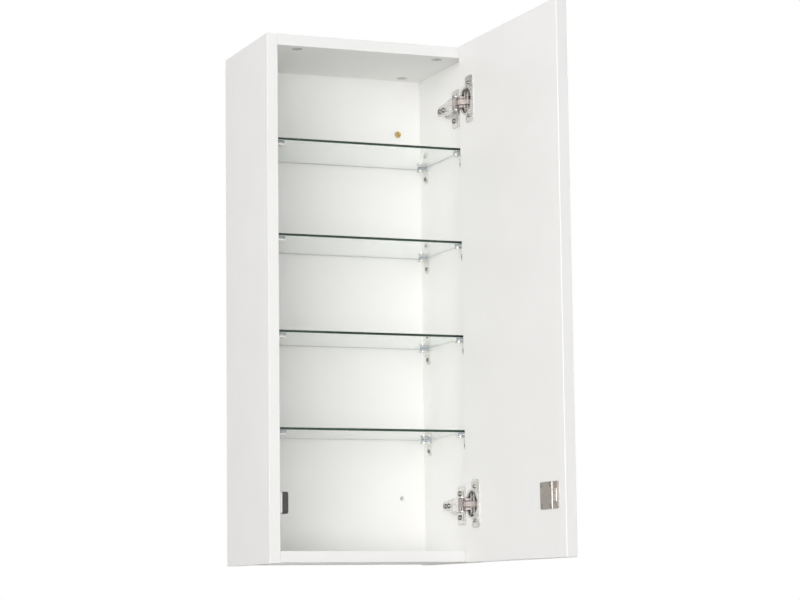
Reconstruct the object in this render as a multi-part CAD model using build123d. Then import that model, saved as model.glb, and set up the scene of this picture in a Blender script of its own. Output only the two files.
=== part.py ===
from build123d import *
import os

# A tall white wall cabinet with four glass shelves, its door standing open on two concealed hinges.
# Millimetres. X to the right, -Y towards the room, +Z up.
# The origin is on the wall, in the middle of the four fixing holes.

# Carcass
WIDTH = 300.0
HEIGHT = 700.0
DEPTH = 180.0
BOARD = 15.0              # side, top and bottom boards
BACK_BOARD = 15.0
BOTTOM_STEP = 1.0         # the bottom board lies this far above the side boards' ends
EDGE_EASE = 0.5           # bevel on the boards' front edges

# Rows of small holes in the side boards
GRID = 32.0
FIRST_HOLE = 61.0         # lowest hole above the cabinet's underside
REAR_ROW_INSET = 37.0     # from the side board's back edge
FRONT_ROW_INSET = 13.0    # from its front edge
SPARE_HOLE_R = 1.5
SPARE_HOLE_DEPTH = 9.0

# Wall fixing
FIX_SPAN_X = 202.0
FIX_SPAN_Z = 515.0
FIX_HOLE_R = 2.75
FIX_BEVEL = 0.8
BUSH_R = 3.75
BUSH_FLANGE_R = 4.75
BUSH_FLANGE = 1.0

# Corner joints: a cam in the end of the top or bottom board pulls on a bolt in the side board
CAM_R = 7.5
CAM_DEPTH = 12.0
CAM_END_INSET = 34.0      # cam centre from the board's end
CAM_FRONT_INSET = 18.5
BOLT_R = 3.0
BOLT_HEAD_R = 3.5
BOLT_HEAD = 3.0
BOLT_IN_SIDE = 11.0
DOWEL_R = 4.0
DOWEL_LENGTH = 29.0
DOWEL_IN_SIDE = 11.0
DOWEL_BEVEL = 0.8
DOWEL_SHIFT = GRID        # dowels from the cam bolts, towards the middle
FIT = 0.05                # clearance round fitted fastenings

# Shelves
SHELF_COUNT = 4
SHELF_HOLES_UP = 3        # lowest shelf's bracket screw is this many grid steps above the first hole
SHELF_STEP_HOLES = 4      # grid steps from shelf to shelf
GLASS = 4.0
GLASS_BEVEL = 0.4
GLASS_SIDE_GAP = 1.0
GLASS_FRONT_INSET = 5.0
GLASS_BACK_GAP = 2.0

# Shelf bracket: a strip bent to a leg under the glass and a tab down the side board
BRACKET_WIDTH = 13.0
BRACKET_SHEET = 2.0
BRACKET_LEG = 13.0
BRACKET_RISE = 12.5       # leg's top above the screw
BRACKET_BEND_R = 1.5
BRACKET_CORNER_R = 2.0
PAD_HEIGHT = 4.0
PAD_SIZE = 10.5
PAD_CORNER_R = 2.5

# Screws
SMALL_SHANK_R = 1.3
SMALL_HEAD_R = 2.7
SMALL_HEAD = 1.4
SMALL_LENGTH = 10.0
WOOD_SHANK_R = 1.7
WOOD_HEAD_R = 3.6
WOOD_HEAD = 1.9
WOOD_LENGTH = 11.0
RECESS_SHARE = 0.62       # cross recess, as a share of the head's radius
RECESS_SLOT = 0.8
SEAT = 0.02               # heads lie this far off their seats

# Door
DOOR_BOARD = 15.0
DOOR_REVEAL = 2.0         # side board showing beside the closed door
DOOR_EASE = 0.8
OPEN_ANGLE = 91.3         # as it stands, from closed
OPEN_EDGE_IN = -11.5      # open door's inner hinge-side edge, from the side board's inner face
OPEN_EDGE_OUT = -6.0      # and from the carcass front

# Concealed hinge, upper and lower. Its own frame has X from the side board's inner face,
# Y from the carcass front, Z from the hinge's middle.
LOWER_HINGE_HOLES_UP = 0  # lower plate screw of the lower hinge, in grid steps above the first hole
UPPER_HINGE_HOLES_UP = 17
CUP_INSET = 22.0          # cup's centre from the door's hinge-side edge
CUP_R = 17.4
CUP_WALL = 1.0
CUP_DEPTH = 12.4
CUP_BORE_R = 17.5
CUP_BORE_DEPTH = 12.9
CUP_FLANGE_R = 19.5
CUP_SHEET = 1.4
CUP_MOUTH_BEVEL = 0.9
WING_NEAR = 22.0          # winged plate, from the door's edge
WING_FAR = 45.0
WING_HALF = 32.0
WING_CORNER_R = 5.0
CUP_SCREW_INSET = 31.5
CUP_SCREW_HALF = 22.5

# Pivots: the arm's pins in the hinge's frame, the cup's as inset from the door's edge and depth
OUTER_ARM_PIN = (-16.0, 0.97)
INNER_ARM_PIN = (-16.0, -5.45)
OUTER_CUP_PIN = (10.7, 3.3)
INNER_CUP_PIN = (12.6, 6.6)
OUTER_LINK_ANGLE = -65.43     # each link's direction from its arm pin, with the door as it stands
INNER_LINK_ANGLE = -50.46
PIN_R = 1.0
RUN = 0.05                    # a pin's clearance in a link's eye
EYE_R = 2.1
LINK_SHEET = 1.2

# The links bow round the cup's rim. Bends from the arm pin, X towards the cup pin.
OUTER_LINK_BENDS = [(0, 0), (4.2, 0.6), (6.8, -0.3), (8.7, -3.2), (10.8, -4.9), (14.1, -5.0),
                    (17.2, -2.3), (19.34, 0)]
INNER_LINK_BENDS = [(0, 0), (1.9, -2.9), (4.6, -3.7), (8.5, -3.7), (12.5, -3.3), (15.5, -2.95),
                    (18.6, -3.0), (20.5, -1.9), (21.0, 0.2)]
OUTER_LINK_HALF = 7.6
OUTER_LINK_SLOT_HALF = 4.9    # the inner link passes through the outer link's slot
OUTER_LINK_SLOT_FROM = 4.0    # from the arm pin
INNER_LINK_HALF = 3.3

# The closing spring is one bent wire in the outer link's slot, round the outer cup pin
SPRING_WIRE_R = 0.4
SPRING_HALF = 4.25
SPRING_BENDS = [(10.8, -4.9), (14.1, -5.0), (17.2, -2.25), (19.5, -1.72), (20.9, -0.8), (21.0, 0.5)]
SPRING_FILLET = 0.7

ARM_HALF = 9.8
ARM_TIP_HALF = 6.4
ARM_SHEET = 1.2
ARM_TOP = 17.6            # height of the arm's front over the side board
ARM_LOW_TOP = 14.4        # and of its level rear part
ARM_STEP_Y = 36.0         # where the level part begins
ARM_WEB_FRONT = 3.9
ARM_TAPER_Y = 22.0
ARM_END_Y = 66.0
ARM_FOOT = 6.3            # cheeks' lower edge over the side board
ARM_NOSE_LOW = 13.4       # the same at the nose
ARM_NOSE_Y = 9.0          # where the nose's lower edge meets the foot
ADJUST_SCREW_Y = 45.0
FIXING_SCREW_Y = 57.0
ARM_SCREW_R = 2.0
ARM_SCREW_HEAD_R = 3.4
ARM_SCREW_HEAD = 1.9
ARM_SCREW_LENGTH = 10.5

PLATE_SHEET = 1.6
PLATE_FRONT = 18.0
PLATE_BACK = 44.0
PLATE_HALF = 26.0
PLATE_CORNER_R = 3.0
PLATE_SCREW_ROW = 37.0    # from the carcass front
PLATE_SLOT_ROW = 24.5
PLATE_SLOT_R = 1.6
PLATE_SLOT_SPAN = 7.0
SADDLE_BACK = 61.0
SADDLE_FOOT_HALF = 8.9
SADDLE_FOOT = 6.0
SADDLE_RIB_HALF = 4.6

# Magnetic catch: magnet on the left side board, keeper on the door
CATCH_UP = 78.7           # catch's middle above the cabinet's underside
MAGNET_HALF = 14.2
MAGNET_NEAR = 3.0         # dark block, from the side board
MAGNET_FAR = 11.5
MAGNET_FRONT = 1.6        # behind the carcass front
MAGNET_BACK = 20.0
MAGNET_CORNER_R = 3.0
MOUNT_BACK = 34.0
MOUNT_SCREW_BACK = 27.0
MOUNT_SCREW_HALF = 8.0
KEEPER_NEAR = 231.0       # from the door's hinge-side edge
KEEPER_STEP = 264.5
KEEPER_FAR = 278.6
KEEPER_UP = 77.5          # keeper's middle above the cabinet's underside
KEEPER_HALF = 17.0
KEEPER_RISE = 3.2
KEEPER_FLANGE_RISE = 2.2
KEEPER_SHEET = 1.2
KEEPER_CORNER_R = 3.0
KEEPER_SCREW_NEAR = 235.4
KEEPER_SCREW_FAR = 260.8
KEEPER_SCREW_HALF = 13.2
WINDOW_NEAR = 267.0
WINDOW_FAR = 275.0
WINDOW_HALF = 8.2
KEEPER_BAR_RISE = 2.9

# Derived places
BASE_Z = -HEIGHT / 2
TOP_Z = HEIGHT / 2
FRONT_Y = -DEPTH
SIDE_FACE = WIDTH / 2 - BOARD
BACK_FACE = -BACK_BOARD
FLOOR_Z = BASE_Z + BOTTOM_STEP + BOARD
CEILING_Z = TOP_Z - BOARD
REAR_ROW_Y = -REAR_ROW_INSET
FRONT_ROW_Y = FRONT_Y + FRONT_ROW_INSET
CAM_ROWS_Y = (FRONT_Y + CAM_FRONT_INSET, FRONT_Y + CAM_FRONT_INSET + 4 * GRID)
CAM_X = SIDE_FACE - CAM_END_INSET
DOWEL_ROWS_Y = (CAM_ROWS_Y[0] + DOWEL_SHIFT, CAM_ROWS_Y[1] - DOWEL_SHIFT)
DOOR_WIDTH = WIDTH - 2 * DOOR_REVEAL
CATCH_Z = BASE_Z + CATCH_UP
KEEPER_Z = BASE_Z + KEEPER_UP
BOTH_SIDES = (-1, 1)


def hole_z(steps):
    """Height of a hole in the side boards' rows."""
    return BASE_Z + FIRST_HOLE + steps * GRID


SHELF_SCREWS_Z = [hole_z(SHELF_HOLES_UP + n * SHELF_STEP_HOLES) for n in range(SHELF_COUNT)]
SPARE_HOLES_Z = [z + SHELF_STEP_HOLES * GRID / 2 for z in SHELF_SCREWS_Z[:-1]]
GLASS_RISE = BRACKET_RISE + PAD_HEIGHT
HINGES_Z = {
    "lower": hole_z(LOWER_HINGE_HOLES_UP) + GRID / 2,
    "upper": hole_z(UPPER_HINGE_HOLES_UP) + GRID / 2,
}

# The door's own frame has its origin on the hinge-side edge of its inner face, at mid-height,
# with the closed door towards -X and its thickness towards -Y
OPEN_DOOR = Pos(SIDE_FACE + OPEN_EDGE_IN, FRONT_Y + OPEN_EDGE_OUT, 0) * Rot(0, 0, OPEN_ANGLE)


# Small tools
def block(x_span, y_span, z_span):
    """A box between three pairs of limits."""
    (x0, x1), (y0, y1), (z0, z1) = x_span, y_span, z_span
    middle = ((x0 + x1) / 2, (y0 + y1) / 2, (z0 + z1) / 2)
    return Pos(*middle) * Box(abs(x1 - x0), abs(y1 - y0), abs(z1 - z0))


def rod(start, direction, radius, length):
    """A round bar from start along direction."""
    seat = Plane(origin=start, z_dir=direction)
    return seat * Cylinder(radius, length, align=(Align.CENTER, Align.CENTER, Align.MIN))


def along(start, direction, distance):
    """The point at a distance from start."""
    return tuple(s + d * distance for s, d in zip(start, direction))


def screw(seat, inward, shank_r, head_r, head, length):
    """A pan-head screw whose head rests on seat and whose shank runs inward, with a cross recess."""
    outward = tuple(-d for d in inward)
    top = along(seat, outward, head)
    body = rod(along(seat, outward, SEAT), outward, head_r, head)
    body += rod(seat, inward, shank_r, length) + rod(along(seat, outward, SEAT), inward, shank_r, SEAT)
    body = chamfer(body.faces().sort_by(lambda face: distance_along(face, outward))[-1].edges(), head / 3)
    cutter = cross(2 * RECESS_SHARE * head_r, RECESS_SLOT, head)
    return body - Plane(origin=along(top, inward, 0.6 * head), z_dir=outward) * cutter


def distance_along(face, direction):
    """How far a face's middle lies along a direction."""
    return face.center().dot(Vector(*direction))


def cross(span, slot, height):
    """A cross-shaped cutter standing on its plane."""
    bottom = (Align.CENTER, Align.CENTER, Align.MIN)
    return Box(span, slot, height, align=bottom) + Box(slot, span, height, align=bottom)


def group(solids):
    """Separate solids kept together in one node."""
    return Compound(children=[piece for solid in solids for piece in solid.solids()])


def mirrored(solid):
    """The same piece for the other side of the cabinet."""
    return mirror(solid, about=Plane.YZ)


# Corner fastenings, drawn for the right-hand end of a board whose middle plane is at z
def cam_sites():
    """The y, middle z and facing of every cam on one side: the top board's face down, the bottom's up."""
    top_mid = CEILING_Z + BOARD / 2
    bottom_mid = FLOOR_Z - BOARD / 2
    return [(y, z, face) for y in CAM_ROWS_Y for z, face in ((top_mid, -1), (bottom_mid, 1))]


def dowel_sites():
    """The y and z of the corner dowels on one side."""
    middles = (CEILING_Z + BOARD / 2, FLOOR_Z - BOARD / 2)
    return [(y, z) for y in DOWEL_ROWS_Y for z in middles]


def bolt(y, z, spare=0.0):
    """A cam bolt from the side board into the cam, or its hole where spare is more than nothing."""
    start = SIDE_FACE + BOLT_IN_SIDE
    neck = rod((start + spare, y, z), (-1, 0, 0), BOLT_R + spare, start - CAM_X + spare)
    head = rod((CAM_X + BOLT_HEAD / 2 + spare, y, z), (-1, 0, 0), BOLT_HEAD_R + spare, BOLT_HEAD + 2 * spare)
    return neck + head


def cam(y, z, face):
    """A zinc cam with a cross slot in its face and a pocket round the bolt's head."""
    surface = z + face * BOARD / 2
    body = rod((CAM_X, y, surface), (0, 0, -face), CAM_R, CAM_DEPTH)
    body = chamfer(body.edges().filter_by(GeomType.CIRCLE), 0.4)
    slots = Plane(origin=(CAM_X, y, surface - face * 1.6), z_dir=(0, 0, face)) * cross(8.4, 1.5, 3.0)
    pocket = rod((CAM_X + CAM_R + 1, y, z), (-1, 0, 0), BOLT_HEAD_R + 0.4, CAM_R + BOLT_HEAD)
    return body - slots - pocket


def dowel(start, direction, spare=0.0):
    """A beech dowel, or its hole."""
    pin = rod(along(start, direction, -spare), direction, DOWEL_R + spare, DOWEL_LENGTH + 2 * spare)
    if spare:
        return pin
    return chamfer(pin.edges().filter_by(GeomType.CIRCLE), DOWEL_BEVEL)


def corner_dowel(y, z, spare=0.0):
    """A dowel between the right side board and the top or bottom board."""
    return dowel((SIDE_FACE + DOWEL_IN_SIDE, y, z), (-1, 0, 0), spare)


def back_dowel(z, spare=0.0):
    """A dowel between the right side board and the back board's edge."""
    return dowel((SIDE_FACE + DOWEL_IN_SIDE, BACK_FACE / 2, z), (-1, 0, 0), spare)


BACK_DOWELS_Z = (BASE_Z + HEIGHT / 6, BASE_Z + HEIGHT / 2, BASE_Z + 5 * HEIGHT / 6)


def shared_holes():
    """The holes of all fastenings on the right side, each slightly larger than what it holds."""
    holes = [bolt(y, z, FIT) for y, z, face in cam_sites()]
    holes += [corner_dowel(y, z, FIT) for y, z in dowel_sites()]
    holes += [back_dowel(z, FIT) for z in BACK_DOWELS_Z]
    return holes


# Boards
def side_board():
    """The right side board, full height, bored for everything that is fixed to it."""
    board = block((SIDE_FACE, WIDTH / 2), (FRONT_Y, 0), (BASE_Z, TOP_Z))
    board = chamfer(board.faces().sort_by(Axis.Y)[0].edges(), EDGE_EASE)
    for hole in shared_holes():
        board -= hole
    for row_y in (FRONT_ROW_Y, REAR_ROW_Y):
        for z in SPARE_HOLES_Z:
            board -= rod((SIDE_FACE, row_y, z), (1, 0, 0), SPARE_HOLE_R, SPARE_HOLE_DEPTH)
        for z in SHELF_SCREWS_Z:
            board -= rod((SIDE_FACE, row_y, z), (1, 0, 0), SMALL_SHANK_R, SMALL_LENGTH - BRACKET_SHEET + FIT)
    return board


def right_side_board():
    board = side_board()
    for z in HINGES_Z.values():
        for seat in plate_screw_seats():
            x, y, dz = seat
            hole = rod((SIDE_FACE, FRONT_Y + y, z + dz), (1, 0, 0), WOOD_SHANK_R, WOOD_LENGTH - PLATE_SHEET + FIT)
            board -= hole
    return board


def left_side_board():
    board = mirrored(side_board())
    for y, z in mount_screw_places():
        board -= rod((-SIDE_FACE, y, z), (-1, 0, 0), SMALL_SHANK_R, SMALL_LENGTH - MAGNET_NEAR + FIT)
    return board


def end_board(low, high, open_face):
    """The top or bottom board between the sides, bored for its cams, bolts and dowels."""
    board = block((-SIDE_FACE, SIDE_FACE), (FRONT_Y, 0), (low, high))
    front = board.faces().sort_by(Axis.Y)[0]
    board = chamfer(front.edges().filter_by(Axis.X), EDGE_EASE)
    middle = (low + high) / 2
    for y, z, face in cam_sites():
        if face == open_face:
            surface = z + face * BOARD / 2
            pocket = rod((CAM_X, y, surface), (0, 0, -face), CAM_R + FIT, CAM_DEPTH + FIT)
            for cutter in (pocket, bolt(y, z, FIT)):
                board -= cutter + mirrored(cutter)
    for y in DOWEL_ROWS_Y:
        hole = corner_dowel(y, middle, FIT)
        board -= hole + mirrored(hole)
    return board


def top_board():
    return end_board(CEILING_Z, TOP_Z, -1)


def bottom_board():
    return end_board(FLOOR_Z - BOARD, FLOOR_Z, 1)


def wall_holes():
    """The four wall-fixing places as x and z."""
    return [(sx * FIX_SPAN_X / 2, sz * FIX_SPAN_Z / 2) for sx in BOTH_SIDES for sz in BOTH_SIDES]


def back_board():
    """The back board, set in flush with the other boards' rear edges."""
    board = block((-SIDE_FACE, SIDE_FACE), (BACK_FACE, 0), (FLOOR_Z, CEILING_Z))
    for x, z in wall_holes():
        if z > 0:
            board -= rod((x, BACK_FACE, z), (0, 1, 0), BUSH_R + FIT, BACK_BOARD)
        else:
            board -= rod((x, BACK_FACE, z), (0, 1, 0), FIX_HOLE_R, BACK_BOARD)
            mouth = Cone(FIX_HOLE_R + FIX_BEVEL, FIX_HOLE_R, FIX_BEVEL,
                         align=(Align.CENTER, Align.CENTER, Align.MIN))
            board -= Plane(origin=(x, BACK_FACE, z), z_dir=(0, 1, 0)) * mouth
    for z in BACK_DOWELS_Z:
        hole = back_dowel(z, FIT)
        board -= hole + mirrored(hole)
    return board


def wall_bushes():
    """Flanged bushes in the two upper fixing holes."""
    bushes = []
    for x, z in wall_holes():
        if z > 0:
            flange_face = (x, BACK_FACE - BUSH_FLANGE, z)
            bush = rod(flange_face, (0, 1, 0), BUSH_FLANGE_R, BUSH_FLANGE)
            bush = chamfer(bush.faces().sort_by(Axis.Y)[0].edges(), 0.5)
            bush += rod((x, BACK_FACE, z), (0, 1, 0), BUSH_R, BACK_BOARD)
            bushes.append(bush - rod(flange_face, (0, 1, 0), FIX_HOLE_R, BACK_BOARD + BUSH_FLANGE))
    return group(bushes)


def both_ends(solids):
    """Pieces drawn for the right-hand side, with their twins on the left."""
    return group(solids + [mirrored(solid) for solid in solids])


def cam_locks():
    return both_ends([cam(*site) for site in cam_sites()])


def cam_bolts():
    return both_ends([bolt(y, z) for y, z, face in cam_sites()])


def corner_dowels():
    return both_ends([corner_dowel(y, z) for y, z in dowel_sites()])


def back_dowels():
    return both_ends([back_dowel(z) for z in BACK_DOWELS_Z])


# Shelves and what carries them
def glass_shelf(screw_z):
    """A clear glass plate resting on its four pads."""
    low = screw_z + GLASS_RISE
    half = SIDE_FACE - GLASS_SIDE_GAP
    depth = (FRONT_Y + GLASS_FRONT_INSET, BACK_FACE - GLASS_BACK_GAP)
    plate = block((-half, half), depth, (low, low + GLASS))
    return chamfer(plate.edges(), GLASS_BEVEL)


def bracket():
    """A shelf bracket on the right side board, its screw at the origin of y and z."""
    leg_low = BRACKET_RISE - BRACKET_SHEET
    half = BRACKET_WIDTH / 2
    tab = block((-BRACKET_SHEET, 0), (-half, half), (0, BRACKET_RISE)) + rod((0, 0, 0), (-1, 0, 0), half, BRACKET_SHEET)
    leg = block((-BRACKET_LEG, 0), (-half, half), (leg_low, BRACKET_RISE))
    leg = fillet(leg.faces().sort_by(Axis.X)[0].edges().filter_by(Axis.Z), BRACKET_CORNER_R)
    body = leg + tab
    outer = body.edges().filter_by(Axis.Y).sort_by(lambda edge: edge.center().X + edge.center().Z)[-1]
    body = fillet(outer, BRACKET_SHEET + BRACKET_BEND_R)
    inner = [edge for edge in body.edges().filter_by(Axis.Y)
             if abs(edge.center().X + BRACKET_SHEET) < FIT and abs(edge.center().Z - leg_low) < FIT]
    body = fillet(inner, BRACKET_BEND_R)
    return body - rod((0, 0, 0), (-1, 0, 0), SMALL_SHANK_R + FIT, BRACKET_SHEET)


def bracket_places(screw_z):
    """Where a shelf's right-hand brackets go."""
    return [Pos(SIDE_FACE, row_y, screw_z) for row_y in (FRONT_ROW_Y, REAR_ROW_Y)]


def shelf_brackets(screw_z):
    form = bracket()
    return both_ends([place * form for place in bracket_places(screw_z)])


def pad():
    """A clear soft pad between a bracket's leg and the glass."""
    half = PAD_SIZE / 2
    middle = -BRACKET_LEG + half + 0.7
    body = block((middle - half, middle + half), (-half, half), (BRACKET_RISE, GLASS_RISE))
    return fillet(body.edges().filter_by(Axis.Z), PAD_CORNER_R)


def shelf_pads():
    form = pad()
    return both_ends([place * form for z in SHELF_SCREWS_Z for place in bracket_places(z)])


def bracket_screws():
    form = screw((-BRACKET_SHEET, 0, 0), (1, 0, 0), SMALL_SHANK_R, SMALL_HEAD_R, SMALL_HEAD, SMALL_LENGTH)
    return both_ends([place * form for z in SHELF_SCREWS_Z for place in bracket_places(z)])


# Concealed hinge: the pieces fixed to the side board, in the hinge's frame
def plate_screw_seats():
    """The plate screws' seats on the wings."""
    return [(-PLATE_SHEET, PLATE_SCREW_ROW, side * GRID / 2) for side in BOTH_SIDES]


def mounting_plate():
    """Winged plate with the saddle that the arm is screwed to."""
    wings = block((-PLATE_SHEET, 0), (PLATE_FRONT, PLATE_BACK), (-PLATE_HALF, PLATE_HALF))
    wings = fillet(wings.edges().filter_by(Axis.X), PLATE_CORNER_R)
    foot = block((-SADDLE_FOOT, 0), (PLATE_FRONT, SADDLE_BACK), (-SADDLE_FOOT_HALF, SADDLE_FOOT_HALF))
    foot = chamfer(foot.faces().sort_by(Axis.Y)[-1].edges().filter_by(Axis.X), SADDLE_FOOT_HALF / 2)
    rib_top = ARM_LOW_TOP - ARM_SHEET
    rib = block((-rib_top, 0), (ARM_STEP_Y, SADDLE_BACK), (-SADDLE_RIB_HALF, SADDLE_RIB_HALF))
    body = wings + foot + rib
    for x, y, z in plate_screw_seats():
        body -= rod((0, y, z), (-1, 0, 0), WOOD_SHANK_R + FIT, PLATE_SHEET)
    for side in BOTH_SIDES:
        middle = side * GRID / 2
        for end in BOTH_SIDES:
            hole = (0, PLATE_SLOT_ROW, middle + end * PLATE_SLOT_SPAN / 2)
            body -= rod(hole, (-1, 0, 0), PLATE_SLOT_R, PLATE_SHEET)
        body -= block((-PLATE_SHEET, 0), (PLATE_SLOT_ROW - PLATE_SLOT_R, PLATE_SLOT_ROW + PLATE_SLOT_R),
                      (middle - PLATE_SLOT_SPAN / 2, middle + PLATE_SLOT_SPAN / 2))
    for y in (ADJUST_SCREW_Y, FIXING_SCREW_Y):
        body -= rod((0, y, 0), (-1, 0, 0), ARM_SCREW_R + FIT, rib_top)
    return body


def plate_screws():
    form = [screw(seat, (1, 0, 0), WOOD_SHANK_R, WOOD_HEAD_R, WOOD_HEAD, WOOD_LENGTH)
            for seat in plate_screw_seats()]
    return group(form)


def arm_side(inset):
    """The arm seen from its side, or the space under its web when inset."""
    high = -ARM_TOP + inset
    level = -ARM_LOW_TOP + inset
    if inset:
        corners = [(0, -ARM_END_Y), (0, 2 * ARM_END_Y), (level, 2 * ARM_END_Y), (level, ARM_STEP_Y),
                   (high, ARM_WEB_FRONT), (high, -ARM_END_Y)]
    else:
        corners = [(-ARM_NOSE_LOW, 0), (-ARM_FOOT, ARM_NOSE_Y), (-ARM_FOOT, ARM_END_Y), (level, ARM_END_Y),
                   (level, ARM_STEP_Y), (high, ARM_WEB_FRONT), (high, OUTER_ARM_PIN[1])]
    return make_face(Polyline(*corners, close=True))


def arm_plan(inset):
    """The arm's outline seen from over it, X along the arm, narrowing to a rounded end."""
    half = ARM_HALF - inset
    tip = ARM_TIP_HALF - inset
    front = -ARM_END_Y
    corners = [(front, -half), (ARM_TAPER_Y, -half), (ARM_END_Y - ARM_TIP_HALF, -tip),
               (ARM_END_Y - ARM_TIP_HALF, tip), (ARM_TAPER_Y, half), (front, half)]
    return make_face(Polyline(*corners, close=True)) + Pos(ARM_END_Y - ARM_TIP_HALF, 0) * Circle(tip)


def arm_space(inset):
    """The arm's outer form, or the space inside it when inset."""
    side = extrude(arm_side(inset), amount=ARM_HALF, both=True)
    plan = Plane(origin=(0, 0, 0), x_dir=(0, 1, 0), z_dir=(-1, 0, 0)) * arm_plan(inset)
    return side & extrude(plan, amount=2 * ARM_TOP, both=True)


def hinge_arm():
    """A channel open to the side board. Its nose carries both arm pins."""
    nose = make_hull([*(Pos(*OUTER_ARM_PIN) * Circle(EYE_R)).edges(), *(Pos(*INNER_ARM_PIN) * Circle(EYE_R)).edges()])
    nose = extrude(nose, amount=ARM_HALF, both=True)
    body = arm_space(0) + nose
    inner = ARM_HALF - ARM_SHEET
    body -= arm_space(ARM_SHEET)
    body -= block((-2 * ARM_TOP, 0), (-ARM_TOP, ARM_WEB_FRONT), (-inner, inner))
    for pin in (OUTER_ARM_PIN, INNER_ARM_PIN):
        body -= pin_bar(pin, ARM_HALF, FIT)
    for y in (ADJUST_SCREW_Y, FIXING_SCREW_Y):
        body -= rod((0, y, 0), (-1, 0, 0), ARM_SCREW_R + FIT, ARM_TOP)
    return body


def pin_bar(place, half, spare=0.0):
    """A hinge pin across the hinge, or its hole."""
    return rod((*place, -half), (0, 0, 1), PIN_R + spare, 2 * half)


def arm_pins():
    return group([pin_bar(place, ARM_HALF) for place in (OUTER_ARM_PIN, INNER_ARM_PIN)])


def arm_screws():
    """The adjusting and the fixing screw that hold the arm on its saddle."""
    form = [screw((-ARM_LOW_TOP, y, 0), (1, 0, 0), ARM_SCREW_R, ARM_SCREW_HEAD_R, ARM_SCREW_HEAD, ARM_SCREW_LENGTH)
            for y in (ADJUST_SCREW_Y, FIXING_SCREW_Y)]
    return group(form)


# Concealed hinge: the two links
def strip(bends, thickness):
    """The side view of a strip through a line of bends, rounded at bends and ends."""
    face = Pos(*bends[0]) * Circle(thickness / 2)
    for start, end in zip(bends, bends[1:]):
        edge = Line(start, end)
        middle = edge.center()
        turn = edge.tangent_angle_at(0)
        face += Pos(middle.X, middle.Y) * Rot(0, 0, turn) * Rectangle(edge.length, thickness)
        face += Pos(*end) * Circle(thickness / 2)
    return face


def outer_link():
    """A stamped link, wide at the arm and forked at the cup, its origin on its arm pin."""
    cup_end = OUTER_LINK_BENDS[-1]
    side = strip(OUTER_LINK_BENDS, LINK_SHEET) + Circle(EYE_R) + Pos(*cup_end) * Circle(EYE_R)
    body = extrude(side, amount=OUTER_LINK_HALF, both=True)
    far = 2 * cup_end[0]
    half = OUTER_LINK_SLOT_HALF
    body -= block((OUTER_LINK_SLOT_FROM, far), (-far, far), (-half, half))
    for place in ((0, 0), cup_end):
        body -= pin_bar(place, OUTER_LINK_HALF, RUN)
    return body


def inner_link():
    """A narrower link that passes through the outer link's slot. Its cup end is an open jaw."""
    side = strip(INNER_LINK_BENDS, LINK_SHEET) + Circle(EYE_R)
    body = extrude(side, amount=INNER_LINK_HALF, both=True)
    return body - pin_bar((0, 0), INNER_LINK_HALF, RUN)


def closing_spring():
    """A wire bent to a U, its legs in the outer link's slot and its bow beyond the cup pin."""
    up = [(x, y, SPRING_HALF) for x, y in SPRING_BENDS]
    down = [(x, y, -SPRING_HALF) for x, y in reversed(SPRING_BENDS)]
    route = FilletPolyline(*up, *down, radius=SPRING_FILLET)
    start = Plane(origin=route @ 0, z_dir=route % 0)
    return sweep(start * Circle(SPRING_WIRE_R), path=route)


def in_hinge(place, angle):
    """Where a link's own frame lies in the hinge's frame, with the door as it stands."""
    return Pos(*place, 0) * Rot(0, 0, angle)


# Door and what is fixed to it, in the door's own frame: -X from the hinge-side edge, -Y into the board
def door_board():
    """The door board, bored for the cups and all screws."""
    board = block((-DOOR_WIDTH, 0), (-DOOR_BOARD, 0), (BASE_Z, TOP_Z))
    board = chamfer(board.edges(), DOOR_EASE)
    for z in HINGES_Z.values():
        board -= rod((-CUP_INSET, 0, z), (0, -1, 0), CUP_BORE_R, CUP_BORE_DEPTH)
        for x, y, dz in cup_screw_seats():
            board -= rod((x, 0, z + dz), (0, -1, 0), SMALL_SHANK_R, SMALL_LENGTH - CUP_SHEET + FIT)
    for x, y, z in keeper_screw_seats():
        board -= rod((x, 0, z), (0, -1, 0), SMALL_SHANK_R, SMALL_LENGTH - KEEPER_RISE + FIT)
    return board


def cup_screw_seats():
    return [(-CUP_SCREW_INSET, CUP_SHEET, side * CUP_SCREW_HALF) for side in BOTH_SIDES]


def cup_pin_places():
    """The cup pins in the door's frame, each with half its length."""
    places = []
    for inset, depth in (OUTER_CUP_PIN, INNER_CUP_PIN):
        chord = (CUP_R ** 2 - (CUP_INSET - inset) ** 2) ** 0.5
        places.append(((-inset, -depth), chord - CUP_WALL / 2))
    return places


def hinge_cup():
    """The cup with its flange and winged plate."""
    centre = (-CUP_INSET, CUP_SHEET, 0)
    wings = block((-WING_FAR, -WING_NEAR), (0, CUP_SHEET), (-WING_HALF, WING_HALF))
    wings = fillet(wings.edges().filter_by(Axis.Y), WING_CORNER_R)
    body = wings + rod(centre, (0, -1, 0), CUP_FLANGE_R, CUP_SHEET) + rod(centre, (0, -1, 0), CUP_R, CUP_SHEET + CUP_DEPTH)
    inner_r = CUP_R - CUP_WALL
    body -= rod(centre, (0, -1, 0), inner_r, CUP_SHEET + CUP_DEPTH - CUP_WALL)
    mouth = Cone(inner_r, inner_r + CUP_MOUTH_BEVEL, CUP_MOUTH_BEVEL, align=(Align.CENTER, Align.CENTER, Align.MAX))
    body -= Plane(origin=centre, z_dir=(0, 1, 0)) * mouth
    for place, half in cup_pin_places():
        body -= pin_bar(place, 2 * half, FIT)
    for x, y, z in cup_screw_seats():
        body -= rod((x, 0, z), (0, 1, 0), SMALL_SHANK_R + FIT, CUP_SHEET)
    return body


def cup_pins():
    return group([pin_bar(place, half) for place, half in cup_pin_places()])


def cup_screws():
    form = [screw(seat, (0, -1, 0), SMALL_SHANK_R, SMALL_HEAD_R, SMALL_HEAD, SMALL_LENGTH)
            for seat in cup_screw_seats()]
    return group(form)


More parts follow.
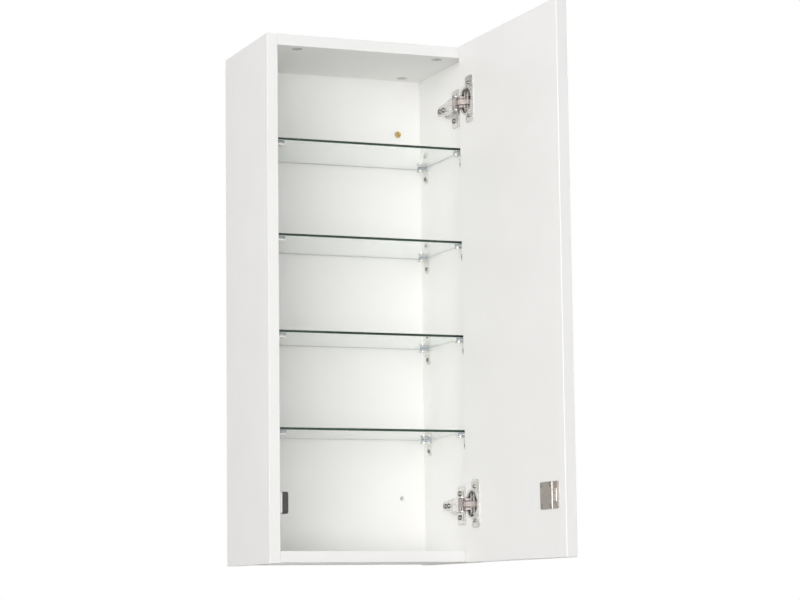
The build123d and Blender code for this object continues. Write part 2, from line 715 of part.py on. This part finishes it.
def keeper_screw_seats():
    return [(-inset, KEEPER_RISE, KEEPER_Z + side * KEEPER_SCREW_HALF)
            for inset in (KEEPER_SCREW_NEAR, KEEPER_SCREW_FAR) for side in BOTH_SIDES]


def keeper_span(near, far, rise, half):
    """A block of the keeper from the door's face outward."""
    return block((-far, -near), (0, rise), (KEEPER_Z - half, KEEPER_Z + half))


def keeper_plate():
    """The catch's steel plate: a raised shallow box and a lower flange with a window."""
    raised = keeper_span(KEEPER_NEAR, KEEPER_STEP, KEEPER_RISE, KEEPER_HALF)
    flange = keeper_span(KEEPER_STEP - KEEPER_SHEET, KEEPER_FAR, KEEPER_FLANGE_RISE, KEEPER_HALF)
    flange = fillet(flange.edges().filter_by(Axis.Y).group_by(Axis.X)[0], KEEPER_CORNER_R)
    body = raised + flange
    body = fillet(body.edges().filter_by(Axis.Y).group_by(Axis.X)[-1], KEEPER_CORNER_R / 2)
    top_edges = body.faces().sort_by(Axis.Y)[-1].edges()
    body = chamfer(top_edges, KEEPER_SHEET / 2)
    body -= keeper_span(WINDOW_NEAR, WINDOW_FAR, 2 * KEEPER_RISE, WINDOW_HALF)
    for x, y, z in keeper_screw_seats():
        body -= rod((x, 0, z), (0, 1, 0), SMALL_SHANK_R + FIT, KEEPER_RISE)
    return body


def keeper_screws():
    form = [screw(seat, (0, -1, 0), SMALL_SHANK_R, SMALL_HEAD_R, SMALL_HEAD / 2, SMALL_LENGTH)
            for seat in keeper_screw_seats()]
    return group(form)


def keeper_bar():
    """The bright armature in the keeper's window."""
    return keeper_span(WINDOW_NEAR + FIT, WINDOW_FAR - FIT, KEEPER_BAR_RISE, WINDOW_HALF - FIT)


# Magnet of the catch on the left side board, in the part's frame
def mount_screw_places():
    """The magnet mount's screws as y and z."""
    return [(FRONT_Y + MOUNT_SCREW_BACK, CATCH_Z + side * MOUNT_SCREW_HALF) for side in BOTH_SIDES]


def magnet_mount():
    """A flat light mount behind the magnet block, screwed to the side board."""
    reach = (FRONT_Y + MAGNET_FRONT, FRONT_Y + MOUNT_BACK)
    body = block((-SIDE_FACE, -SIDE_FACE + MAGNET_NEAR), reach, (CATCH_Z - MAGNET_HALF, CATCH_Z + MAGNET_HALF))
    body = fillet(body.edges().filter_by(Axis.X), MAGNET_CORNER_R)
    for y, z in mount_screw_places():
        body -= rod((-SIDE_FACE, y, z), (1, 0, 0), SMALL_SHANK_R + FIT, MAGNET_NEAR)
    return body


def magnet_block():
    reach = (FRONT_Y + MAGNET_FRONT, FRONT_Y + MAGNET_BACK)
    span = (-SIDE_FACE + MAGNET_NEAR, -SIDE_FACE + MAGNET_FAR)
    body = block(span, reach, (CATCH_Z - MAGNET_HALF, CATCH_Z + MAGNET_HALF))
    body = fillet(body.edges().filter_by(Axis.X), MAGNET_CORNER_R)
    return chamfer(body.faces().sort_by(Axis.X)[-1].edges(), EDGE_EASE)


def magnet_screws():
    seats = [(-SIDE_FACE + MAGNET_NEAR, y, z) for y, z in mount_screw_places()]
    return group([screw(seat, (-1, 0, 0), SMALL_SHANK_R, SMALL_HEAD_R, SMALL_HEAD, SMALL_LENGTH) for seat in seats])


def hinge_nodes(name, z):
    """Every piece of one hinge, placed with the door as it stands."""
    on_side = Pos(SIDE_FACE, FRONT_Y, z)
    on_door = OPEN_DOOR * Pos(0, 0, z)
    return {
        f"{name}_mounting_plate": on_side * mounting_plate(),
        f"{name}_plate_screws": on_side * plate_screws(),
        f"{name}_hinge_arm": on_side * hinge_arm(),
        f"{name}_arm_screws": on_side * arm_screws(),
        f"{name}_arm_pins": on_side * arm_pins(),
        f"{name}_outer_link": on_side * in_hinge(OUTER_ARM_PIN, OUTER_LINK_ANGLE) * outer_link(),
        f"{name}_closing_spring": on_side * in_hinge(OUTER_ARM_PIN, OUTER_LINK_ANGLE) * closing_spring(),
        f"{name}_inner_link": on_side * in_hinge(INNER_ARM_PIN, INNER_LINK_ANGLE) * inner_link(),
        f"{name}_hinge_cup": on_door * hinge_cup(),
        f"{name}_cup_pins": on_door * cup_pins(),
        f"{name}_cup_screws": on_door * cup_screws(),
    }


def all_nodes():
    """Every node of the cabinet by name."""
    nodes = {
        "left_side_board": left_side_board(),
        "right_side_board": right_side_board(),
        "top_board": top_board(),
        "bottom_board": bottom_board(),
        "back_board": back_board(),
        "wall_bushes": wall_bushes(),
        "cam_locks": cam_locks(),
        "cam_bolts": cam_bolts(),
        "corner_dowels": corner_dowels(),
        "back_dowels": back_dowels(),
        "shelf_pads": shelf_pads(),
        "bracket_screws": bracket_screws(),
        "magnet_mount": magnet_mount(),
        "magnet_block": magnet_block(),
        "magnet_screws": magnet_screws(),
        "door_board": OPEN_DOOR * door_board(),
        "keeper_plate": OPEN_DOOR * keeper_plate(),
        "keeper_screws": OPEN_DOOR * keeper_screws(),
        "keeper_bar": OPEN_DOOR * keeper_bar(),
    }
    for number, z in enumerate(SHELF_SCREWS_Z, start=1):
        nodes[f"glass_shelf_{number}"] = glass_shelf(z)
        nodes[f"shelf_brackets_{number}"] = shelf_brackets(z)
    for name, z in HINGES_Z.items():
        nodes.update(hinge_nodes(name, z))
    return nodes


def main():
    os.makedirs("parts", exist_ok=True)
    for name, shape in all_nodes().items():
        export_step(shape, f"parts/{name}.step")


main()
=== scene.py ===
import math

import bpy
from mathutils import Matrix, Vector

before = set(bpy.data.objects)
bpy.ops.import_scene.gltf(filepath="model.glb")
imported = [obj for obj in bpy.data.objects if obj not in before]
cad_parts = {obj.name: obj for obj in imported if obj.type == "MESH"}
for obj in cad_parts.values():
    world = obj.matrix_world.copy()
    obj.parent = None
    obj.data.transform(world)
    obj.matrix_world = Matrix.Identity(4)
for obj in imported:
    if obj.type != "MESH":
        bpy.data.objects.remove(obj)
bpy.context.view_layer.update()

# Camera: place, turn and lens that bring the built edges onto the photograph's
CAMERA_PLACE = Vector((-1.18958, -3.24972, -0.41006))
CAMERA_YAW = math.radians(21.7541)
CAMERA_PITCH = math.radians(7.0591)
CAMERA_ROLL = math.radians(-0.7025)
CAMERA_LENS = 112.225
CAMERA_REACH = 100.0
SENSOR_WIDTH = 36.0

# Studio: a white background, soft lamps and a floor well below the hung cabinet
WHITE = (1.0, 1.0, 1.0)
WORLD_LIGHT = 0.27
FLOOR_HEIGHT = -0.95
FLOOR_SIZE = 30.0
FLOOR_PATCH = 0.4             # size of the floor's faint patches
FLOOR_PATCH_STRENGTH = 0.06
FLOOR_ROUGHNESS = 0.7
FLOOR_SEEN = (0.82, 0.82, 0.815)
FLOOR_BOUNCE = (0.38, 0.37, 0.36)
LAMP_TARGET = Vector((0.0, -0.15, 0.0))
LAMPS = {
    "key_lamp": {"place": (-2.75, -2.4, 0.45), "width": 3.0, "height": 2.2, "watts": 87.0},
    "low_lamp": {"place": (-0.5, -3.1, -0.80), "width": 1.8, "height": 0.9, "watts": 12.0},
    "front_lamp": {"place": (-1.0, -3.3, -0.15), "width": 1.2, "height": 1.6, "watts": 23.0},
    "right_lamp": {"place": (3.2, -0.6, 0.7), "width": 2.2, "height": 2.2, "watts": 52.0},
    "back_lamp": {"place": (1.3, 3.2, 0.6), "width": 2.2, "height": 2.2, "watts": 56.0},
    "top_lamp": {"place": (0.4, 0.5, 3.2), "width": 2.2, "height": 2.2, "watts": 26.0},
}

# Board edges that the saw and the edge band leave faintly rounded, in metres
BOARD_EDGE_ROUND = 0.00035
BOARD_EDGE_STEPS = 2
SHARP_EDGE = math.radians(50)
WELD_REACH = 0.000002
ROUNDED_BOARDS = (
    "left_side_board",
    "right_side_board",
    "top_board",
    "bottom_board",
    "back_board",
    "door_board",
)

# A noise value mostly lies between these two
NOISE_LOW = 0.3
NOISE_HIGH = 0.7

# Rounded against flat normals: their product at a turned edge, and on flat ground
EDGE_TURNED = 0.75
EDGE_FLAT = 0.99
EDGE_SAMPLES = 4

# How level a glass face is: 1 on top and underneath, 0 at the cut edge, between on the bevel
BEVEL_LEVEL = (0.45, 0.50)
FACE_LEVEL = (0.90, 0.92)

# How far a board's face looks forward before it counts as its front edge band, whose grey is partly the
# band's own tone and partly painted shade
BAND_AND_SHADE_TURN = (0.6, 0.8)

# Plated metal: size of its painted reflection clouds and its lines, and how much of its tone the
# painted reflection clouds make
PLATE_REFLECTION_CLOUD = 0.006
PLATE_LINE = 0.0004
PLATE_GLOSS_PATCH = 0.002
PLATE_REFLECTION_SHARE = 0.6
PLATE_REFLECTION_RIM = 0.0004
PLATE_EDGE_ROUND = 0.00012


# A material under construction, with short ways to add and join its nodes
class Look:
    def __init__(self, name, **settings):
        self.material = bpy.data.materials.new(name)
        self.material.use_nodes = True
        self.tree = self.material.node_tree
        self.shader = self.tree.nodes["Principled BSDF"]
        self.output = self.tree.nodes["Material Output"]
        place = self.add("ShaderNodeTexCoord")
        self.place = place.outputs["Object"]
        self.facing = place.outputs["Normal"]
        for socket, value in settings.items():
            self.shader.inputs[socket.replace("_", " ")].default_value = value

    def add(self, kind, **values):
        node = self.tree.nodes.new(kind)
        for name, value in values.items():
            setattr(node, name, value)
        return node

    def join(self, source, target):
        self.tree.links.new(source, target)

    # A smooth random value whose patches are about size metres across, times stretch along each axis
    def noise(self, size, detail=3.0, stretch=(1.0, 1.0, 1.0)):
        mapping = self.add("ShaderNodeMapping")
        mapping.inputs["Scale"].default_value = [1.0 / (size * s) for s in stretch]
        self.join(self.place, mapping.inputs["Vector"])
        texture = self.add("ShaderNodeTexNoise")
        texture.inputs["Scale"].default_value = 1.0
        texture.inputs["Detail"].default_value = detail
        self.join(mapping.outputs["Vector"], texture.inputs["Vector"])
        return texture.outputs["Fac"]

    # The value carried from one range to another
    def ranged(self, value, low, high, from_low=NOISE_LOW, from_high=NOISE_HIGH):
        node = self.add("ShaderNodeMapRange")
        node.inputs["From Min"].default_value = from_low
        node.inputs["From Max"].default_value = from_high
        node.inputs["To Min"].default_value = low
        node.inputs["To Max"].default_value = high
        self.join(value, node.inputs["Value"])
        return node.outputs["Result"]

    # 0 below the step's first value and 1 above its second
    def step(self, value, limits):
        return self.ranged(value, 0.0, 1.0, *limits)

    # Clouds from 0 to 1, of that size
    def clouds(self, size, detail=3.0, stretch=(1.0, 1.0, 1.0)):
        return self.ranged(self.noise(size, detail, stretch), 0.0, 1.0)

    # A sum on values, each of which is a number or another node's output
    def calculate(self, operation, *values):
        node = self.add("ShaderNodeMath", operation=operation)
        for socket, value in zip(node.inputs, values):
            if isinstance(value, float):
                socket.default_value = value
            else:
                self.join(value, socket)
        return node.outputs["Value"]

    # The first colour where the value is 0, the second where it is 1
    def colours(self, value, first, second):
        node = self.add("ShaderNodeMix", data_type="RGBA")
        self.join(value, node.inputs["Factor"])
        for socket, colour in ((node.inputs["A"], first), (node.inputs["B"], second)):
            if isinstance(colour, tuple):
                socket.default_value = (*colour, 1.0)
            else:
                self.join(colour, socket)
        return node.outputs["Result"]

    def rounded_normal(self, width):
        node = self.add("ShaderNodeBevel", samples=EDGE_SAMPLES)
        node.inputs["Radius"].default_value = width
        return node.outputs["Normal"]

    # 1 along the sharp edges and 0 on flat ground, over about that width
    def edges(self, width):
        flat = self.add("ShaderNodeNewGeometry")
        node = self.add("ShaderNodeVectorMath", operation="DOT_PRODUCT")
        self.join(self.rounded_normal(width), node.inputs[0])
        self.join(flat.outputs["Normal"], node.inputs[1])
        return self.ranged(node.outputs["Value"], 1.0, 0.0, EDGE_TURNED, EDGE_FLAT)

    def paint(self, colour):
        self.join(colour, self.shader.inputs["Base Color"])

    def roughness(self, value):
        self.join(value, self.shader.inputs["Roughness"])

    # Relief in layers of a value and its height in metres, on edges softened by edge_width
    def relief(self, *layers, edge_width=0.0):
        normal = self.rounded_normal(edge_width) if edge_width else None
        for value, height in layers:
            bump = self.add("ShaderNodeBump")
            bump.inputs["Distance"].default_value = height
            self.join(value, bump.inputs["Height"])
            if normal is not None:
                self.join(normal, bump.inputs["Normal"])
            normal = bump.outputs["Normal"]
        self.join(normal, self.shader.inputs["Normal"])

    # Lamps shine through it, tinted, as they do through thin clear stuff
    def lets_light_through(self, tint):
        path = self.add("ShaderNodeLightPath")
        clear = self.add("ShaderNodeBsdfTransparent")
        clear.inputs["Color"].default_value = (*tint, 1.0)
        mix = self.add("ShaderNodeMixShader")
        self.join(path.outputs["Is Shadow Ray"], mix.inputs["Fac"])
        self.join(self.shader.outputs["BSDF"], mix.inputs[1])
        self.join(clear.outputs["BSDF"], mix.inputs[2])
        self.join(mix.outputs["Shader"], self.output.inputs["Surface"])


# Satin white lacquer: faint clouds, small specks, roller grain, slightly worn edges, and greyer forward
# faces, partly the edge band's own tone and partly painted shade
def white_lacquer(band_and_shade=True):
    name = "white_lacquer_band_and_shade" if band_and_shade else "white_lacquer_plain"
    look = Look(name, Specular_IOR_Level=0.42)
    clouds = look.clouds(size=0.09, detail=4.0)
    ground = look.colours(clouds, (0.882, 0.877, 0.862), (0.900, 0.895, 0.882))
    if band_and_shade:
        # Painted shade: faces that look forward are painted greyer, as well as taking the edge band's
        # own tone
        ground = look.colours(front_band_and_shade_mask(look), ground, band_and_shade_grey(look, clouds))
    specks = look.step(look.noise(size=0.0021, detail=2.0), limits=(0.72, 0.80))
    speckled = look.colours(specks, ground, (0.80, 0.80, 0.79))
    patchy = look.ranged(look.noise(size=0.012), low=0.1, high=0.6)
    wear = look.calculate("MULTIPLY", look.edges(width=0.0006), patchy)
    look.paint(look.colours(wear, speckled, (0.78, 0.775, 0.76)))
    look.roughness(look.ranged(look.noise(size=0.03, detail=5.0), low=0.36, high=0.47))
    waves = look.noise(size=0.014, detail=1.0)
    grain = look.noise(size=0.0011)
    look.relief((waves, 0.00002), (grain, 0.000012), edge_width=0.0004)
    return look.material


# 1 on the faces that look to the front of the cabinet, which get the edge band's grey and painted shade
def front_band_and_shade_mask(look):
    side = look.add("ShaderNodeSeparateXYZ")
    look.join(look.facing, side.inputs["Vector"])
    return look.step(look.calculate("MULTIPLY", side.outputs["Y"], -1.0), BAND_AND_SHADE_TURN)


# The glued edge band is a little greyer than the lacquered faces; part of this grey is painted shade on
# every face that looks forward
def band_and_shade_grey(look, clouds):
    return look.colours(clouds, (0.802, 0.800, 0.796), (0.817, 0.815, 0.812))


# Plated metal: brushed lines one way, clouded gloss, painted reflection in dark and bright clouds, and
# a painted edge reflection along its edges
def plated(name, dark, bright, edge_reflection, smooth, rough, lines, line_depth):
    look = Look(name, Metallic=1.0)
    # Painted reflection: clouds of dark and bright tone stand in for reflected surroundings
    clouds = look.clouds(PLATE_REFLECTION_CLOUD, detail=4.0)
    streaks = look.noise(PLATE_LINE, stretch=lines)
    streak_part = look.calculate("MULTIPLY", streaks, 1.0 - PLATE_REFLECTION_SHARE)
    reflection_and_streak_tone = look.calculate("MULTIPLY_ADD", clouds, PLATE_REFLECTION_SHARE, streak_part)
    # Painted edge reflection: a dark rim on nickel, a bright glint on the other metals
    look.paint(look.colours(look.edges(PLATE_REFLECTION_RIM), look.colours(reflection_and_streak_tone, dark, bright), edge_reflection))
    look.roughness(look.ranged(look.noise(PLATE_GLOSS_PATCH, 4.0, lines), smooth, rough))
    look.relief((streaks, line_depth), edge_width=PLATE_EDGE_ROUND)
    return look.material


def nickel():
    return plated(
        "nickel_plate",
        dark=(0.56, 0.545, 0.52),
        bright=(0.90, 0.885, 0.86),
        edge_reflection=(0.30, 0.285, 0.27),
        smooth=0.16,
        rough=0.36,
        lines=(1.0, 14.0, 1.0),
        line_depth=0.000006,
    )


def link_steel():
    return plated(
        "link_steel_plate",
        dark=(0.26, 0.228, 0.212),
        bright=(0.40, 0.358, 0.335),
        edge_reflection=(0.56, 0.52, 0.49),
        smooth=0.46,
        rough=0.62,
        lines=(1.0, 1.0, 9.0),
        line_depth=0.000006,
    )


def screw_steel():
    return plated(
        "screw_steel_bright",
        dark=(0.15, 0.145, 0.14),
        bright=(0.36, 0.35, 0.34),
        edge_reflection=(0.62, 0.61, 0.59),
        smooth=0.18,
        rough=0.38,
        lines=(3.0, 3.0, 1.0),
        line_depth=0.000005,
    )


def keeper_nickel():
    return plated(
        "keeper_satin_plate",
        dark=(0.42, 0.385, 0.35),
        bright=(0.60, 0.555, 0.515),
        edge_reflection=(0.78, 0.75, 0.72),
        smooth=0.34,
        rough=0.50,
        lines=(1.0, 1.0, 18.0),
        line_depth=0.000008,
    )


def brass():
    return plated(
        "turned_brass",
        dark=(0.56, 0.39, 0.15),
        bright=(0.80, 0.60, 0.28),
        edge_reflection=(0.92, 0.76, 0.45),
        smooth=0.20,
        rough=0.38,
        lines=(1.0, 1.0, 1.0),
        line_depth=0.000006,
    )


# Zinc casting: clouded grey with a dull grain of small pits, and a painted highlight along its edges
def zinc():
    look = Look("zinc_casting", Metallic=1.0)
    clouds = look.clouds(size=0.004, detail=4.0)
    ground = look.colours(clouds, (0.46, 0.46, 0.455), (0.68, 0.68, 0.67))
    # Painted highlight: the edges are brighter than the ground
    look.paint(look.colours(look.edges(width=0.0003), ground, (0.82, 0.82, 0.81)))
    look.roughness(look.ranged(look.noise(size=0.0012), low=0.34, high=0.56))
    look.relief((look.noise(size=0.0004, detail=4.0), 0.00002), edge_width=0.00015)
    return look.material


# Float glass: clear through its faces, dark green at its cut edge, a bright ground bevel between whose
# brightness is partly the ground finish and partly a painted highlight
def shelf_glass():
    look = Look("float_glass", IOR=1.52)
    side = look.add("ShaderNodeSeparateXYZ")
    look.join(look.facing, side.inputs["Vector"])
    level = look.calculate("ABSOLUTE", side.outputs["Z"])
    face = look.step(level, FACE_LEVEL)
    not_face = look.calculate("SUBTRACT", 1.0, face)
    streaks = look.clouds(size=0.02, stretch=(6.0, 6.0, 1.0))
    green = look.colours(streaks, (0.006, 0.018, 0.011), (0.020, 0.046, 0.031))
    # Painted highlight: the bevel is pale, partly for its ground finish and partly for the light it
    # catches
    cut_and_bevel_highlight = look.colours(look.step(level, BEVEL_LEVEL), green, (0.80, 0.86, 0.83))
    look.paint(look.colours(face, cut_and_bevel_highlight, (0.955, 0.985, 0.972)))
    look.join(face, look.shader.inputs["Transmission Weight"])
    ground_rough = look.ranged(look.noise(size=0.003), low=0.18, high=0.30)
    look.roughness(look.calculate("MULTIPLY", ground_rough, not_face))
    ground_grain = look.calculate("MULTIPLY", look.noise(size=0.0015), not_face)
    look.relief((ground_grain, 0.00002))
    look.lets_light_through(tint=(0.89, 0.905, 0.88))
    return look.material


# Clear soft plastic, faintly blue, a little uneven
def clear_pad():
    look = Look("clear_soft_plastic", IOR=1.46, Transmission_Weight=0.75)
    look.paint(look.colours(look.clouds(size=0.003), (0.56, 0.60, 0.64), (0.74, 0.77, 0.80)))
    look.roughness(look.ranged(look.noise(size=0.001), low=0.12, high=0.30))
    look.relief((look.noise(size=0.0012), 0.00003), edge_width=0.0002)
    look.lets_light_through(tint=(0.88, 0.92, 0.95))
    return look.material


# Moulded plastic: a fine grained skin, with edges painted paler as a highlight
def moulded(name, dark, bright, edge_reflection):
    look = Look(name, Specular_IOR_Level=0.45)
    ground = look.colours(look.clouds(size=0.008, detail=4.0), dark, bright)
    # Painted highlight: the edges are paler than the ground
    look.paint(look.colours(look.edges(width=0.0003), ground, edge_reflection))
    look.roughness(look.ranged(look.noise(size=0.0015), low=0.40, high=0.56))
    look.relief((look.noise(size=0.0003, detail=2.0), 0.000015), edge_width=0.00015)
    return look.material


def magnet_dark():
    return moulded(
        "magnet_housing",
        dark=(0.040, 0.038, 0.036),
        bright=(0.060, 0.056, 0.052),
        edge_reflection=(0.13, 0.125, 0.12),
    )


def mount_light():
    return moulded(
        "light_moulding",
        dark=(0.78, 0.78, 0.76),
        bright=(0.83, 0.83, 0.815),
        edge_reflection=(0.88, 0.88, 0.87),
    )


# Raw beech: pale lengthwise grain with short darker flecks
def beech():
    look = Look("raw_beech")
    lengthwise = (12.0, 12.0, 1.0)
    grain = look.clouds(size=0.0016, detail=5.0, stretch=lengthwise)
    flecks = look.step(look.noise(0.0006, 2.0, lengthwise), limits=(0.66, 0.74))
    wood = look.colours(grain, (0.60, 0.41, 0.25), (0.76, 0.57, 0.39))
    look.paint(look.colours(flecks, wood, (0.42, 0.26, 0.15)))
    look.roughness(look.ranged(grain, low=0.55, high=0.75, from_low=0.0, from_high=1.0))
    look.relief((grain, 0.00004))
    return look.material


# The record's material slots, each with the function that makes its look
LOOKS = {
    "white_lacquer": white_lacquer,
    "beech": beech,
    "brass": brass,
    "zinc": zinc,
    "shelf_glass": shelf_glass,
    "clear_pad": clear_pad,
    "nickel": nickel,
    "link_steel": link_steel,
    "screw_steel": screw_steel,
    "keeper_nickel": keeper_nickel,
    "magnet_dark": magnet_dark,
    "mount_light": mount_light,
}


# Every node takes the look of the slot it was packed with; the back board has no edge band and so none
# of the painted shade on its forward face
def dress_nodes():
    made = {}
    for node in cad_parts.values():
        for slot in node.material_slots:
            name = slot.material.name
            if name not in made:
                made[name] = LOOKS[name]()
            slot.material = made[name]
    plain = white_lacquer(band_and_shade=False)
    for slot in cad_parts["back_board"].material_slots:
        slot.material = plain


# The cut and banded edges of the boards are faintly rounded, so their joints show as fine lines
def round_boards():
    for name in ROUNDED_BOARDS:
        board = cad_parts[name]
        weld = board.modifiers.new("weld", "WELD")
        weld.merge_threshold = WELD_REACH
        edge = board.modifiers.new("rounded_edges", "BEVEL")
        edge.width = BOARD_EDGE_ROUND
        edge.segments = BOARD_EDGE_STEPS
        edge.limit_method = "ANGLE"
        edge.angle_limit = SHARP_EDGE
        edge.harden_normals = True


# 1 for the rays that see the background: the camera's, and those in metal and glass
def seen_rays(tree):
    path = tree.nodes.new("ShaderNodeLightPath")
    seen = path.outputs["Is Camera Ray"]
    for name in ("Is Glossy Ray", "Is Transmission Ray"):
        either = tree.nodes.new("ShaderNodeMath")
        either.operation = "MAXIMUM"
        tree.links.new(seen, either.inputs[0])
        tree.links.new(path.outputs[name], either.inputs[1])
        seen = either.outputs["Value"]
    return seen


# White where it is seen, and a softer light on the object
def white_world():
    world = bpy.data.worlds.new("studio")
    bpy.context.scene.world = world
    world.use_nodes = True
    tree = world.node_tree
    light = tree.nodes["Background"]
    light.inputs["Color"].default_value = (*WHITE, 1.0)
    light.inputs["Strength"].default_value = WORLD_LIGHT
    white = tree.nodes.new("ShaderNodeBackground")
    white.inputs["Color"].default_value = (*WHITE, 1.0)
    mix = tree.nodes.new("ShaderNodeMixShader")
    tree.links.new(seen_rays(tree), mix.inputs["Fac"])
    tree.links.new(light.outputs["Background"], mix.inputs[1])
    tree.links.new(white.outputs["Background"], mix.inputs[2])
    tree.links.new(mix.outputs["Shader"], tree.nodes["World Output"].inputs["Surface"])


# Pale where it is seen, and darker in the light that it throws up at the object
def pale_floor():
    half = FLOOR_SIZE / 2
    corners = [(-half, -half, 0.0), (half, -half, 0.0), (half, half, 0.0), (-half, half, 0.0)]
    mesh = bpy.data.meshes.new("studio_floor")
    mesh.from_pydata(corners, [], [(0, 1, 2, 3)])
    floor = bpy.data.objects.new("studio_floor", mesh)
    floor.location.z = FLOOR_HEIGHT
    bpy.context.scene.collection.objects.link(floor)
    look = Look("floor_paint", Roughness=FLOOR_ROUGHNESS)
    shade = look.ranged(look.noise(FLOOR_PATCH), low=0.0, high=FLOOR_PATCH_STRENGTH)
    seen = look.colours(shade, FLOOR_SEEN, FLOOR_BOUNCE)
    look.paint(look.colours(seen_rays(look.tree), FLOOR_BOUNCE, seen))
    mesh.materials.append(look.material)


def soft_lamps():
    for name, facts in LAMPS.items():
        lamp = bpy.data.lights.new(name, "AREA")
        lamp.shape = "RECTANGLE"
        lamp.size = facts["width"]
        lamp.size_y = facts["height"]
        lamp.energy = facts["watts"]
        stand = bpy.data.objects.new(name, lamp)
        stand.location = facts["place"]
        aim = LAMP_TARGET - stand.location
        stand.rotation_euler = aim.to_track_quat("-Z", "Y").to_euler()
        bpy.context.scene.collection.objects.link(stand)


def photo_camera():
    lens = bpy.data.cameras.new("photo_camera")
    lens.lens = CAMERA_LENS
    lens.sensor_width = SENSOR_WIDTH
    lens.sensor_fit = "HORIZONTAL"
    lens.clip_end = CAMERA_REACH
    level = math.cos(CAMERA_PITCH)
    ahead = Vector((math.sin(CAMERA_YAW) * level, math.cos(CAMERA_YAW) * level, math.sin(CAMERA_PITCH)))
    right = Vector((math.cos(CAMERA_YAW), -math.sin(CAMERA_YAW), 0.0))
    up = right.cross(ahead)
    across = math.cos(CAMERA_ROLL) * right + math.sin(CAMERA_ROLL) * up
    upward = math.cos(CAMERA_ROLL) * up - math.sin(CAMERA_ROLL) * right
    turn = Matrix((across, upward, -ahead)).transposed()
    camera = bpy.data.objects.new("photo_camera", lens)
    camera.matrix_world = Matrix.Translation(CAMERA_PLACE) @ turn.to_4x4()
    bpy.context.scene.collection.objects.link(camera)
    bpy.context.scene.camera = camera


bpy.context.scene.view_settings.view_transform = "Standard"
photo_camera()
white_world()
pale_floor()
soft_lamps()
dress_nodes()
round_boards()
